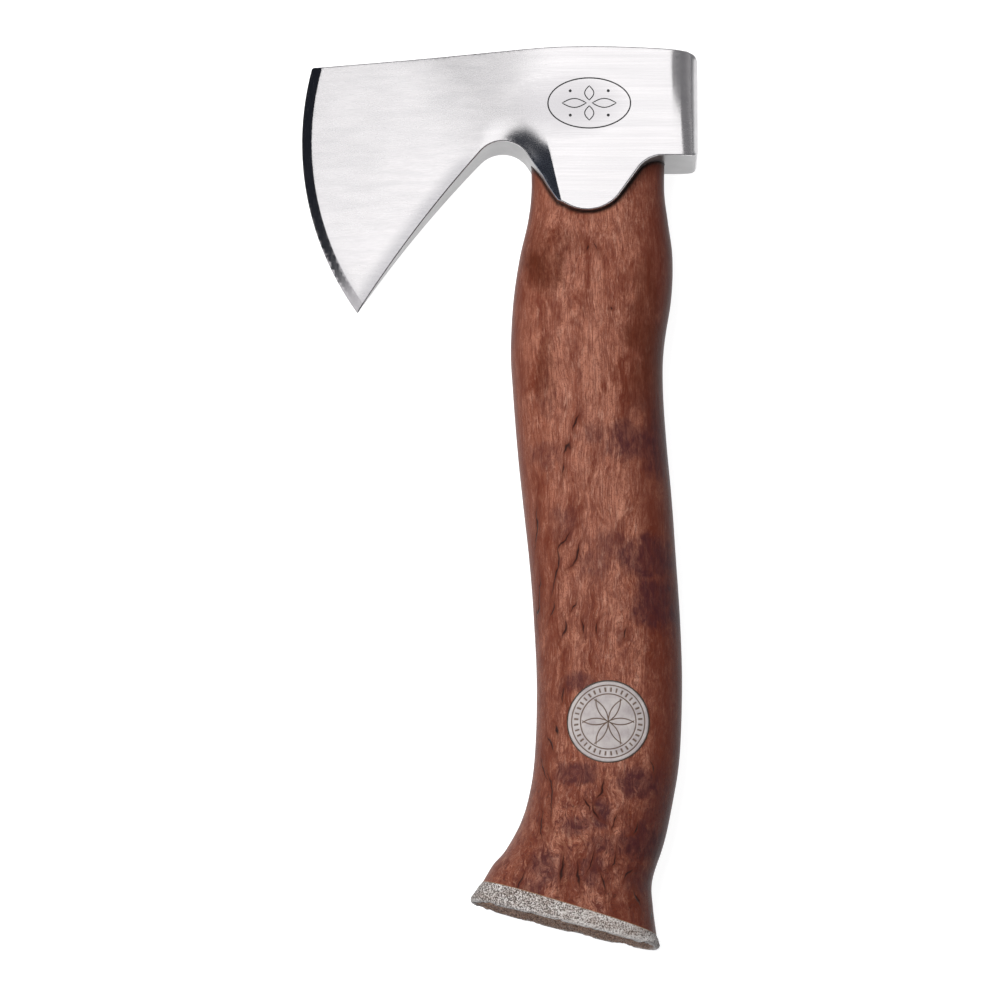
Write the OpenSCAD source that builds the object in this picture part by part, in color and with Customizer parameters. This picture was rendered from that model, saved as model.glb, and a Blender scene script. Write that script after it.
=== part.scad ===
// Hatchet lying on its cheek: the bit points to -X, the poll to +X, the head is at +Y and the butt at -Y.
// Design coordinates: x = 0 on the eye's axis, y = 0 at mid-height of the poll, z = 0 on the mid-plane.

/* [Head] */
// Thickness over the eye, which is also the thickness of the butt cap
head_thickness = 26; // [24:0.5:30]
// Radius of the cutting edge, seen from the side
edge_radius = 82; // [78:0.5:90]
// Distance of the edge's centre behind the eye's axis
edge_centre_x = 0.6; // [0:0.1:2]
// Drop of the edge's centre below the poll's mid-height
edge_centre_drop = 8.2; // [7:0.1:10]
// Width of the sharpened bevel
bevel_width = 2.7; // [2:0.1:4]
// Blade thickness where the bevel starts
bevel_thickness = 1.6; // [1.2:0.1:2.4]
// Thickness that the blade gains per millimetre behind the bevel
blade_taper = 0.34; // [0.3:0.01:0.38]
// Distance from the eye's axis to the poll's striking face
poll_x = 27.3; // [26:0.1:32]
// Rounding of the poll's long edges
poll_rounding = 5.7; // [3:0.1:6]
// Height of the top edge over the poll's mid-height
crown_y = 16.05; // [15.5:0.05:18]

/* [Eye] */
// Length of the eye, fore and aft
eye_length = 36.8; // [34:0.2:38]
// Width of the eye
eye_width = 18.8; // [16:0.2:19]
// Play between the tenon and the eye's wall
eye_play = 0.1; // [0.05:0.05:0.2]

/* [Wedges] */
// Length of the wooden wedge, fore and aft
wedge_length = 31; // [24:1:32]
// Thickness of the wooden wedge at its top
wedge_thickness = 3.6; // [2.5:0.1:5]
// Depth of the wooden wedge
wedge_depth = 23; // [18:1:26]
// Width of the steel cross wedge
steel_wedge_width = 16; // [10:1:18]
// Thickness of the steel wedge at its top
steel_wedge_thickness = 2; // [1.5:0.1:3]
// Depth of the steel wedge
steel_wedge_depth = 17; // [12:1:20]
// Turn of the steel wedge against the wooden one
steel_wedge_turn = 50; // [40:5:90]

/* [Handle] */
// Half thickness of the grip
grip_half_thickness = 12.4; // [11:0.1:12.6]
// Height of the tenon's end over the poll's mid-height
tenon_top_y = 15.2; // [14:0.1:15.4]
// Slope of the butt, which falls towards the back
butt_slope = 17; // [12:1:20]

/* [Inlaid disc] */
// Diameter of the antler disc
disc_d = 22; // [18:0.5:24]
// Depth of the disc below the top of the grip
disc_depth = 4; // [3:0.5:5]
// Width of the glue line round and under the disc
disc_glue_gap = 0.25; // [0.15:0.05:0.4]

/* [Butt cap] */
// Thickness of the antler cap on its middle line
cap_thickness = 5.1; // [4.5:0.1:7]
// Thickness of the glue film above the cap
cap_glue_gap = 0.2; // [0.15:0.05:0.4]
// Diameter of the two hidden dowels
dowel_d = 5; // [4:0.5:6]
// Distance between the dowels
dowel_spacing = 20; // [16:1:26]

/* [Hidden] */
half = head_thickness / 2;
edge_centre = [edge_centre_x, -edge_centre_drop];
far = 150;          // longer than any cut needs
oval_sides = 48;    // points round an oval section
steps_per_span = 3; // loft rings between two stations
grip = grip_half_thickness;

// Crown over the eye: an arc that meets the straight top edge at crown_start.
crown_radius = 300;
crown_x = -2.5;
crown_start = -17.5;
toe = [-78.2, 12.6];
poll_foot_y = -14.6;
corner_radius = 2.5;
foot_radius = 1.5;

// Eye and tenon have the same boxy oval section; the tenon is smaller by the play.
eye_squareness = 2.4;
tenon = [eye_length / 2 - eye_play, eye_width / 2 - eye_play];

// Thickness of the wedges at their tips, and how far a kerf is carried past the tenon's end.
wedge_tip = 0.8;
steel_wedge_tip = 0.5;
kerf_over = 1;

// Where the taper in front of the eye starts, and where it has died out in the blade.
taper_start = -14;
taper_end = [-46, 5];

// Butt: the middle of the joint between wood and antler, and the axes of its plane.
butt = [-8, -219.9];
butt_half_width = 24.6;
butt_half_thickness = half - 0.2;
butt_squareness = 2.45;
butt_across = [cos(butt_slope), -sin(butt_slope)];
butt_down = [-sin(butt_slope), -cos(butt_slope)];
cap_rim_depth = 3.8;
cap_rim_slope = butt_slope - 2.7;
cap_half_width = 26.5;
cap_chamfer = 1.1;
cap_bottom = butt + cap_thickness * butt_down;
cap_bottom_half_width = cap_half_width - cap_chamfer;
dowel_in_wood = 14;
dowel_in_cap = 3;

// Middle of the inlaid disc on the grip.
disc_centre = [2.5, -170.5];

// Ornament on the cheek: an oval line round a flower of four petals, with a dot between each two.
ornament_centre = [-2.4, 0];
ornament_size = [23, 14.4];
ornament_sides = 60;
petal_root = 0.8;
petal_reach = [7.6, 5];
petal_width = 2.7;
dot_place = [5.2, 3.4];
dot_r = 0.45;
groove_width = 0.4;
groove_depth = 0.25;

// The overall box, from the edge to the poll and from the crown to the cap's lowest corner.
x_min = edge_centre.x - edge_radius;
y_min = min(cap_bottom.y - cap_bottom_half_width * sin(cap_rim_slope),
            butt.y + cap_rim_depth * butt_down.y - cap_half_width * sin(cap_rim_slope));
to_origin = [-(x_min + poll_x) / 2, -(crown_y + y_min) / 2, half];

// Points on the circle through three points, from the first to the last.
function circle_centre(a, b, c) =
    let (d = 2 * (a.x * (b.y - c.y) + b.x * (c.y - a.y) + c.x * (a.y - b.y)),
         aa = a * a, bb = b * b, cc = c * c)
    [(aa * (b.y - c.y) + bb * (c.y - a.y) + cc * (a.y - b.y)) / d,
     (aa * (c.x - b.x) + bb * (a.x - c.x) + cc * (b.x - a.x)) / d];
function near_turn(angle, about) = angle - 360 * round((angle - about) / 360);
function arc_through(a, b, c, steps) =
    let (m = circle_centre(a, b, c), r = norm(a - m),
         mid = atan2(b.y - m.y, b.x - m.x),
         first = near_turn(atan2(a.y - m.y, a.x - m.x), mid),
         last = near_turn(atan2(c.y - m.y, c.x - m.x), mid))
    [for (i = [0:steps]) let (t = first + (last - first) * i / steps) m + r * [cos(t), sin(t)]];

// Points of an arc about a known centre.
function arc_about(m, r, first, last, steps) =
    [for (i = [0:steps]) let (t = first + (last - first) * i / steps) m + r * [cos(t), sin(t)]];

function crown_height(x) = crown_y - pow(x - crown_x, 2) / (2 * crown_radius);

// Oval section with a squareness: 2 is an ellipse, more is boxier.
function oval(a, b, squareness) =
    [for (i = [0:oval_sides - 1])
        let (t = 360 * i / oval_sides, c = cos(t), s = sin(t))
        [a * sign(c) * pow(abs(c), 2 / squareness), b * sign(s) * pow(abs(s), 2 / squareness)]];

// A station is [x, y, half width, half thickness, slope, squareness].
function ring(st) =
    [for (p = oval(st[2], st[3], st[5])) [st[0] + p.x * cos(st[4]), st[1] - p.x * sin(st[4]), p.y]];
function spline(a, b, c, d, t) =
    (2 * b + (c - a) * t + (2 * a - 5 * b + 4 * c - d) * t * t + (3 * b - a - 3 * c + d) * t * t * t) / 2;
function smooth_stations(st) =
    let (last = len(st) - 1)
    concat([for (i = [0:last - 1], k = [0:steps_per_span - 1])
        spline(st[max(i - 1, 0)], st[i], st[i + 1], st[min(i + 2, last)], k / steps_per_span)],
        [st[last]]);

// Closed skin over a row of stations.
module loft(stations) {
    n = oval_sides;
    rings = len(stations);
    points = [for (st = stations, p = ring(st)) p];
    sides = [for (r = [0:rings - 2], i = [0:n - 1], k = [0:1])
        let (a = r * n + i, b = r * n + (i + 1) % n)
        k == 0 ? [a, b, b + n] : [a, b + n, a + n]];
    top = [[for (i = [n - 1:-1:0]) i]];
    foot = [[for (i = [0:n - 1]) (rings - 1) * n + i]];
    polyhedron(points = points, faces = concat(top, sides, foot));
}

// Lays a sketch drawn with x across and y through the thickness along the handle's axis.
module along_y(y0, y1) {
    translate([0, y0, 0]) rotate([90, 0, 0]) mirror([0, 0, 1]) linear_extrude(y1 - y0) children();
}

// ---- Head ----

module head_outline() {
    poll_top = crown_height(poll_x);
    heel_angle = 215.6;
    top = arc_through([crown_start, crown_height(crown_start)], [0, crown_height(0)],
                      [poll_x - corner_radius, crown_height(poll_x - corner_radius)], 12);
    top_corner = arc_about([poll_x - corner_radius, poll_top - corner_radius], corner_radius, 70, 0, 4);
    foot_corner = arc_about([poll_x - foot_radius, poll_foot_y + foot_radius], foot_radius, 0, -90, 5);
    lug_fillet = arc_through([16.5, poll_foot_y], [13.6, -15.7], [11.5, -17.4], 5);
    lug_tip = arc_through([4.6, -26.8], [-1.5, -29.6], [-9.6, -27.6], 10);
    lug_front = arc_through([-11.6, -26.3], [-13, -24], [-14.4, -21.2], 3);
    arch = arc_through([-20.6, -12.1], [-25.9, -9.9], [-31.4, -11.8], 10);
    beard = arc_through([-32.8, -13.3], [-46.4, -29.2], [-65.9, -56.1], 14);
    bit = arc_about(edge_centre, edge_radius + 2, heel_angle, 165.4, 24);
    polygon(concat([[toe.x - 3, toe.y - 0.15]], top, top_corner, foot_corner, lug_fillet, lug_tip,
                   lug_front, arch, beard, bit));
}

module blade_wedge() {
    cheek_r = edge_radius - bevel_width;
    inner_half = bevel_thickness / 2 + blade_taper / 2 * cheek_r;
    translate([edge_centre.x, edge_centre.y, 0])
        rotate_extrude($fn = 180)
            polygon([[0, -inner_half], [cheek_r, -bevel_thickness / 2], [edge_radius, 0],
                     [cheek_r, bevel_thickness / 2], [0, inner_half]]);
}

// Plan of the eye's walls and the poll: straight walls, rounded at the poll, tapered into the blade.
module eye_block() {
    round_x = poll_x - poll_rounding;
    round_z = half - poll_rounding;
    along_y(-far, far)
        polygon(concat([[taper_start, half]],
                       arc_about([round_x, round_z], poll_rounding, 90, 0, 6),
                       arc_about([round_x, -round_z], poll_rounding, 0, -90, 6),
                       [[taper_start, -half], [taper_end.x, -taper_end.y], taper_end]));
}

// Hollow ground into the lower cheek in front of the lug.
module lug_hollow() {
    hollow_radius = 60;
    hollow_foot = [-34.15, -14, 69.2];
    hollow_lean = 6.5;
    hollow_turn = 2;
    translate(hollow_foot) rotate([0, 0, -hollow_turn]) rotate([hollow_lean - 90, 0, 0])
        cylinder(h = far, r = hollow_radius, center = true, $fn = 120);
}

module ellipse(w, h) {
    polygon([for (i = [0:ornament_sides - 1])
        let (t = 360 * i / ornament_sides) [w / 2 * cos(t), h / 2 * sin(t)]]);
}

// Leaf from its root to its reach along x.
module leaf(root, reach, width) {
    steps = 8;
    upper = [for (i = [0:steps]) [root + (reach - root) * i / steps, width / 2 * sin(180 * i / steps)]];
    lower = [for (i = [steps - 1:-1:1]) [upper[i].x, -upper[i].y]];
    polygon(concat(upper, lower));
}

module petal_line(reach) {
    difference() {
        leaf(petal_root, reach, petal_width);
        leaf(petal_root + 2 * groove_width, reach - 2 * groove_width, petal_width - 2 * groove_width);
    }
}

module ornament() {
    translate([ornament_centre.x, ornament_centre.y, half - groove_depth])
        linear_extrude(1) {
            difference() {
                ellipse(ornament_size.x, ornament_size.y);
                ellipse(ornament_size.x - 2 * groove_width, ornament_size.y - 2 * groove_width);
            }
            for (k = [0:3])
                rotate(90 * k) petal_line(k % 2 == 0 ? petal_reach.x : petal_reach.y);
            for (x = [-1, 1], y = [-1, 1])
                translate([x * dot_place.x, y * dot_place.y]) circle(dot_r, $fn = 12);
        }
}

module head() {
    color([0.82, 0.82, 0.8])
        difference() {
            intersection() {
                translate([0, 0, -half]) linear_extrude(head_thickness) head_outline();
                union() {
                    blade_wedge();
                    eye_block();
                }
            }
            along_y(-far, far) polygon(oval(eye_length / 2, eye_width / 2, eye_squareness));
            lug_hollow();
            mirror([0, 0, 1]) lug_hollow();
            ornament();
        }
}

// ---- Handle ----

handle_stations = [
    [0, tenon_top_y, tenon.x, tenon.y, 0, eye_squareness],
    [0, 0, tenon.x, tenon.y, 0, eye_squareness],
    [0, -14, tenon.x, tenon.y, 0, eye_squareness],
    [0, -23, tenon.x, tenon.y, 0, eye_squareness],
    [0, -31, 19.3, grip - 2.2, 0, 2.35],
    [-0.5, -41, 21.2, grip - 0.8, 0, 2.3],
    [-1.5, -52, 21.8, grip - 0.2, 0, 2.2],
    [-3, -66, 21.1, grip, 0, 2.2],
    [-2.9, -77, 20.7, grip, 0, 2.2],
    [-1.8, -92, 20.6, grip, 0, 2.2],
    [-0.4, -107, 20.5, grip, 0, 2.2],
    [0.9, -122, 20.3, grip, 0, 2.2],
    [2.2, -140, 20.1, grip, 0, 2.2],
    [2.9, -158, 19.9, grip, 0.5, 2.2],
    [2.4, -177, 19.8, grip, 3, 2.2],
    [0.8, -189, 19.5, grip - 0.1, 6, 2.2],
    [-1.6, -199, 19.7, grip - 0.3, 9, 2.2],
    [-5.4, -208.2, 20.4, grip - 0.3, 12, 2.25],
    [-7.1, -213.9, 22.5, grip, butt_slope - 2, 2.35],
    [butt.x, butt.y, butt_half_width, butt_half_thickness, butt_slope, butt_squareness]];

module handle_blank() {
    loft(smooth_stations(handle_stations));
}

// Tapered wedge that points down the handle: w across, t thick at the tenon's end and deep in y.
// A kerf is the same shape carried on past the tenon's end by over.
module wedge_shape(w, t, depth, tip, over) {
    top = (t + (t - tip) * over / depth) / 2;
    rotate([0, 90, 0]) linear_extrude(w, center = true)
        polygon([[-top, tenon_top_y + over], [top, tenon_top_y + over], [tip / 2, tenon_top_y - depth],
                 [-tip / 2, tenon_top_y - depth]]);
}

module wood_wedge_shape(over = 0) {
    wedge_shape(wedge_length, wedge_thickness, wedge_depth, wedge_tip, over);
}

module steel_wedge_shape(over = 0) {
    rotate([0, steel_wedge_turn, 0])
        wedge_shape(steel_wedge_width, steel_wedge_thickness, steel_wedge_depth, steel_wedge_tip, over);
}

module disc_column(d, depth) {
    translate([disc_centre.x, disc_centre.y, grip - depth]) cylinder(h = depth + 2, d = d, $fn = 96);
}

// Cylinders square to the butt's joint, from one depth to another.
module dowel_pair(d, from, to) {
    for (side = [-1, 1]) {
        at = butt + side * dowel_spacing / 2 * butt_across + from * butt_down;
        translate([at.x, at.y, 0]) rotate([90, 0, -butt_slope]) cylinder(h = to - from, d = d, $fn = 48);
    }
}

module handle() {
    color([0.5, 0.24, 0.13])
        difference() {
            handle_blank();
            wood_wedge_shape(kerf_over);
            steel_wedge_shape(kerf_over);
            disc_column(disc_d + 2 * disc_glue_gap, disc_depth + disc_glue_gap);
            dowel_pair(dowel_d, -dowel_in_wood, 1);
        }
}

module eye_wedge() {
    color([0.72, 0.55, 0.36])
        difference() {
            wood_wedge_shape();
            steel_wedge_shape(kerf_over);
        }
}

module steel_wedge() {
    color([0.45, 0.46, 0.48]) steel_wedge_shape();
}

module inlay_disc() {
    color([0.84, 0.83, 0.8])
        intersection() {
            handle_blank();
            disc_column(disc_d, disc_depth);
        }
}

module disc_glue() {
    color([0.16, 0.1, 0.07])
        intersection() {
            handle_blank();
            difference() {
                disc_column(disc_d + 2 * disc_glue_gap, disc_depth + disc_glue_gap);
                disc_column(disc_d, disc_depth);
            }
        }
}

// ---- Butt ----

function below_butt(depth) = butt + depth * butt_down;

// Station of the joint's own outline, at a depth below the joint.
function butt_station(depth) =
    let (p = below_butt(depth)) [p.x, p.y, butt_half_width, butt_half_thickness, butt_slope, butt_squareness];

module butt_cap() {
    rim = below_butt(cap_rim_depth);
    color([0.78, 0.76, 0.72])
        difference() {
            loft([butt_station(cap_glue_gap),
                  [rim.x, rim.y, cap_half_width, half, cap_rim_slope, butt_squareness],
                  [cap_bottom.x, cap_bottom.y, cap_bottom_half_width, half - cap_chamfer, cap_rim_slope,
                   butt_squareness]]);
            dowel_pair(dowel_d, -1, dowel_in_cap);
        }
}

module cap_glue() {
    color([0.55, 0.36, 0.2])
        difference() {
            loft([butt_station(0), butt_station(cap_glue_gap)]);
            dowel_pair(dowel_d, -1, 1);
        }
}

module butt_dowels() {
    color([0.75, 0.6, 0.42]) dowel_pair(dowel_d, -dowel_in_wood, dowel_in_cap);
}

translate(to_origin) {
    head();
    handle();
    eye_wedge();
    steel_wedge();
    inlay_disc();
    disc_glue();
    butt_cap();
    cap_glue();
    butt_dowels();
}
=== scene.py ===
"""Looks of the hatchet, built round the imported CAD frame. Metres, row frame.

The head, handle, inlaid disc and butt cap are rebuilt as fine meshes inside the CAD's sizes; the wedges,
dowels and glue films stay as CAD nodes with their own materials.
Shapes are written in millimetres from the design origin: x = 0 on the eye's axis, y = 0 at the poll's
mid-height, z = 0 on the blade's mid-plane.
"""
import contextlib
import math
import bpy
import bmesh
from mathutils import Matrix, Vector, geometry, noise
from mathutils.bvhtree import BVHTree
from mathutils.kdtree import KDTree


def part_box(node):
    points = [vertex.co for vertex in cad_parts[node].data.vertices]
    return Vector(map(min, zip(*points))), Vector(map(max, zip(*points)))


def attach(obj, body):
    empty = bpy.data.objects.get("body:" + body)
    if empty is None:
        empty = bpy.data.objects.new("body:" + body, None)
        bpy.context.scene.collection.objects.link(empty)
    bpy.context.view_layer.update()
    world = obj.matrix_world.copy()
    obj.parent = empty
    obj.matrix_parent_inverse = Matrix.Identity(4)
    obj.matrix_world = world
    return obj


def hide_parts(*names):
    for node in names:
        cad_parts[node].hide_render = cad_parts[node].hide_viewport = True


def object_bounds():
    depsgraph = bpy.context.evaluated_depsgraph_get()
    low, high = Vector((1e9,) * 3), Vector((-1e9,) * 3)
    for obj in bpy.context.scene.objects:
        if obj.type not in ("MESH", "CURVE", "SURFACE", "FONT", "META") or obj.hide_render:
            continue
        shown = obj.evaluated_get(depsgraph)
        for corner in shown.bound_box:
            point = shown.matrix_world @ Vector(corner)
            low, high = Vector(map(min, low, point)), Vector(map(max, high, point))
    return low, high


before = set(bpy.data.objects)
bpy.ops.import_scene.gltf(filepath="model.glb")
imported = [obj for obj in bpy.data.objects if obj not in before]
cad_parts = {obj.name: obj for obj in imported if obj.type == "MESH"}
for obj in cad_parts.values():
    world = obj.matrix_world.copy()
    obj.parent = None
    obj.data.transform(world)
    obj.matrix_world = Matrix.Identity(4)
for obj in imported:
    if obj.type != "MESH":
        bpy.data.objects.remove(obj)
cad_low, cad_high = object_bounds()

# ---- Sizes shared with the CAD, in millimetres ----
MM = 0.001
POLL_X = 27.3
CROWN_Y = 16.05
HALF = 13.0
EDGE_RADIUS = 82.0
EDGE_CENTRE = (0.6, -8.2)
BEVEL_WIDTH = 2.7
BEVEL_HALF = 0.8
TAPER = 0.17
EYE = (18.4, 9.4, 2.4)
TENON = (18.3, 9.3)
TENON_TOP = 15.2
GRIP = 12.4
BUTT = (-8.0, -219.9)
BUTT_SLOPE = 17.0
BUTT_HALF = (24.6, 12.8)
BUTT_SQUARENESS = 2.45
CAP_WIDTH = 26.5
DISC_CENTRE = (2.5, -170.5)
DISC_RADIUS = 11.0
GLUE_GAP = 0.25
DISC_DEPTH = 4.0
ORNAMENT_CENTRE = (-2.4, 0.0)

head_low, head_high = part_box("head")
ORIGIN = Vector((head_high.x - POLL_X * MM, head_high.y - CROWN_Y * MM, (head_low.z + head_high.z) / 2))


def at(x, y, z=0.0):
    """Design millimetres to row metres."""
    return ORIGIN + Vector((x, y, z)) * MM


# ---- Small maths ----

def clamp(x, low=0.0, high=1.0):
    return max(low, min(high, x))


def smoothstep(a, b, x):
    t = clamp((x - a) / (b - a))
    return t * t * (3 - 2 * t)


def lerp(a, b, t):
    return a + (b - a) * t


def smooth_max(a, b, k):
    """The larger of two values, blended over a width k."""
    h = clamp(0.5 + (a - b) / (2 * k))
    return lerp(b, a, h) + k * h * (1 - h)


def ring_points(centre, a, b, sides):
    """Points on an ellipse."""
    turns = [2 * math.pi * i / sides for i in range(sides)]
    return [(centre[0] + a * math.cos(t), centre[1] + b * math.sin(t)) for t in turns]


def circle_through(a, b, c):
    """Centre and radius of the circle through three points."""
    d = 2 * (a[0] * (b[1] - c[1]) + b[0] * (c[1] - a[1]) + c[0] * (a[1] - b[1]))
    aa, bb, cc = (p[0] ** 2 + p[1] ** 2 for p in (a, b, c))
    centre = ((aa * (b[1] - c[1]) + bb * (c[1] - a[1]) + cc * (a[1] - b[1])) / d,
              (aa * (c[0] - b[0]) + bb * (a[0] - c[0]) + cc * (b[0] - a[0])) / d)
    return centre, math.dist(a, centre)


def arc_through(a, b, c, steps):
    """Points on the circle through three points, from the first to the last."""
    centre, radius = circle_through(a, b, c)
    angles = [math.atan2(p[1] - centre[1], p[0] - centre[0]) for p in (a, b, c)]
    turn = 2 * math.pi
    first, last = (t - turn * round((t - angles[1]) / turn) for t in (angles[0], angles[2]))
    return arc_about(centre, radius, first, last, steps)


def arc_about(m, r, first, last, steps):
    angles = [lerp(first, last, i / steps) for i in range(steps + 1)]
    return [(m[0] + r * math.cos(t), m[1] + r * math.sin(t)) for t in angles]


def resample(points, step):
    """Points about a step apart along a polyline, keeping its ends."""
    out = []
    for a, b in zip(points, points[1:]):
        n = max(1, round(math.dist(a, b) / step))
        out += [(lerp(a[0], b[0], i / n), lerp(a[1], b[1], i / n)) for i in range(n)]
    return out + [points[-1]]


# ---- Mesh helpers ----

def new_object(name, data):
    obj = bpy.data.objects.new(name, data)
    bpy.context.collection.objects.link(obj)
    return obj


def mesh_object(name, vertices, faces, material=None):
    mesh = bpy.data.meshes.new(name)
    mesh.from_pydata([tuple(v) for v in vertices], [], faces)
    mesh.update()
    if material:
        mesh.materials.append(material)
    return new_object(name, mesh)


def set_attribute(obj, name, values):
    """Stores a number for every vertex, for a material to read."""
    obj.data.attributes.new(name, "FLOAT", "POINT").data.foreach_set("value", values)


@contextlib.contextmanager
def edited(mesh):
    bm = bmesh.new()
    bm.from_mesh(mesh)
    yield bm
    bm.to_mesh(mesh)
    bm.free()


def face_out(obj):
    """Turns every face outwards."""
    with edited(obj.data) as bm:
        bmesh.ops.recalc_face_normals(bm, faces=bm.faces)


def closed_object(name, vertices, faces, material=None):
    made = mesh_object(name, vertices, faces, material)
    face_out(made)
    return made


def tube_faces(rings, sides):
    """Quads between rings of vertices, and a cap on the first and the last ring."""
    faces = []
    for r in range(rings - 1):
        for i in range(sides):
            a, b = r * sides + i, r * sides + (i + 1) % sides
            faces.append([a, b, b + sides, a + sides])
    return faces + [list(range(sides)), [(rings - 1) * sides + i for i in range(sides)]]


def cut(obj, tools):
    """Cuts closed tools out of a closed piece, then removes the tools."""
    for tool in tools:
        modifier = obj.modifiers.new("cut", "BOOLEAN")
        modifier.operation = "DIFFERENCE"
        modifier.solver = "EXACT"
        modifier.material_mode = "TRANSFER"
        modifier.object = tool
        graph = bpy.context.evaluated_depsgraph_get()
        baked = bpy.data.meshes.new_from_object(obj.evaluated_get(graph))
        obj.modifiers.clear()
        obj.data = baked
        bpy.data.objects.remove(tool)


def shade(obj, sharp_degrees=35):
    """Smooth shading that keeps edges sharper than an angle, with normals that favour large faces."""
    limit = math.radians(sharp_degrees)
    with edited(obj.data) as bm:
        bmesh.ops.dissolve_degenerate(bm, dist=1e-7, edges=bm.edges)
        for face in bm.faces:
            face.smooth = True
        for edge in bm.edges:
            edge.smooth = len(edge.link_faces) == 2 and edge.calc_face_angle(0) < limit
    normals = obj.modifiers.new("normals", "WEIGHTED_NORMAL")
    normals.keep_sharp = True
    normals.weight = 60


# ---- Node materials ----

class Nodes:
    """Builds a material's node tree with short calls. Its point is in design millimetres."""

    def __init__(self, name):
        self.material = bpy.data.materials.new(name)
        self.material.use_nodes = True
        self.tree = self.material.node_tree
        self.tree.nodes.clear()
        self.shader = self.node("ShaderNodeBsdfPrincipled")
        output = self.node("ShaderNodeOutputMaterial")
        self.link(self.shader.outputs[0], output.inputs[0])
        place = self.node("ShaderNodeTexCoord").outputs["Object"]
        self.point = self.stretch((1 / MM,) * 3, -ORIGIN / MM, place)

    def node(self, kind, **settings):
        made = self.tree.nodes.new(kind)
        for key, value in settings.items():
            setattr(made, key, value)
        return made

    def link(self, source, target):
        self.tree.links.new(source, target)

    def feed(self, node, socket, value):
        """Links a socket, or sets its value or its colour."""
        if isinstance(value, bpy.types.NodeSocket):
            self.link(value, node.inputs[socket])
        else:
            node.inputs[socket].default_value = (*value, 1) if isinstance(value, tuple) else value

    def stretch(self, scale, offset=(0, 0, 0), point=None):
        mapping = self.node("ShaderNodeMapping")
        self.link(point or self.point, mapping.inputs["Vector"])
        mapping.inputs["Scale"].default_value = scale
        mapping.inputs["Location"].default_value = offset
        return mapping.outputs[0]

    def noise(self, scale, detail=3.0, roughness=0.5, offset=(0, 0, 0), point=None, distortion=0.0):
        """Noise from 0 to 1; scale is in cycles a millimetre along x, y and z."""
        made = self.node("ShaderNodeTexNoise")
        for socket, value in (("Vector", self.stretch(scale, offset, point)), ("Scale", 1.0),
                              ("Detail", detail), ("Roughness", roughness), ("Distortion", distortion)):
            self.feed(made, socket, value)
        return made.outputs["Fac"]

    def cells(self, scale):
        made = self.node("ShaderNodeTexVoronoi")
        self.link(self.stretch(scale), made.inputs["Vector"])
        made.inputs["Scale"].default_value = 1.0
        return made.outputs["Distance"]

    def ramp(self, value, stops):
        """A curve of straight stretches; stops is a list of (position, grey)."""
        made = self.node("ShaderNodeValToRGB")
        self.link(value, made.inputs[0])
        elements = made.color_ramp.elements
        while len(elements) < len(stops):
            elements.new(0.5)
        for element, (position, grey) in zip(elements, stops):
            element.position = position
            element.color = (grey, grey, grey, 1)
        return made.outputs[0]

    def maths(self, operation, a, b=0.0, c=0.0, bounded=False):
        made = self.node("ShaderNodeMath", operation=operation, use_clamp=bounded)
        for socket, value in enumerate((a, b, c)):
            self.feed(made, socket, value)
        return made.outputs[0]

    def mix(self, amount, a, b):
        """Colour a where the amount is 0, colour b where it is 1."""
        made = self.node("ShaderNodeMix", data_type="RGBA")
        for socket, value in (("Factor", amount), (6, a), (7, b)):
            self.feed(made, socket, value)
        return made.outputs[2]

    def minus(self, a, b, bounded=False):
        return self.maths("SUBTRACT", a, b, bounded=bounded)

    def largest(self, a, b):
        """The larger of two values, or b alone at the start of a run."""
        return b if a is None else self.maths("MAXIMUM", a, b)

    def times(self, *factors):
        """The product of two or more values."""
        product = factors[0]
        for factor in factors[1:]:
            product = self.maths("MULTIPLY", product, factor)
        return product

    def slope(self, value, rise, start, bounded=False):
        """value * rise + start."""
        return self.maths("MULTIPLY_ADD", value, rise, start, bounded)

    def spread(self, x, y, middle, reach):
        """Squared distance from an oval's middle; 1 on the oval."""
        u = self.slope(x, 1 / reach[0], -middle[0] / reach[0])
        v = self.slope(y, 1 / reach[1], -middle[1] / reach[1])
        return self.slope(v, v, self.times(u, u))

    def split(self):
        made = self.node("ShaderNodeSeparateXYZ")
        self.link(self.point, made.inputs[0])
        return made.outputs

    def attribute(self, name):
        return self.node("ShaderNodeAttribute", attribute_name=name).outputs["Fac"]

    def surface(self, colour, roughness, height=None, strength=0.0, distance=0.0, **sockets):
        """Finishes the material. Strength and distance say how strongly the height is felt."""
        if height is not None:
            bump = self.node("ShaderNodeBump")
            for socket, value in (("Strength", strength), ("Distance", distance), ("Height", height)):
                self.feed(bump, socket, value)
            sockets["Normal"] = bump.outputs[0]
        sockets.update(Base_Color=colour, Roughness=roughness)
        for name, value in sockets.items():
            self.feed(self.shader, name.replace("_", " "), value)
        return self.material


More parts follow.
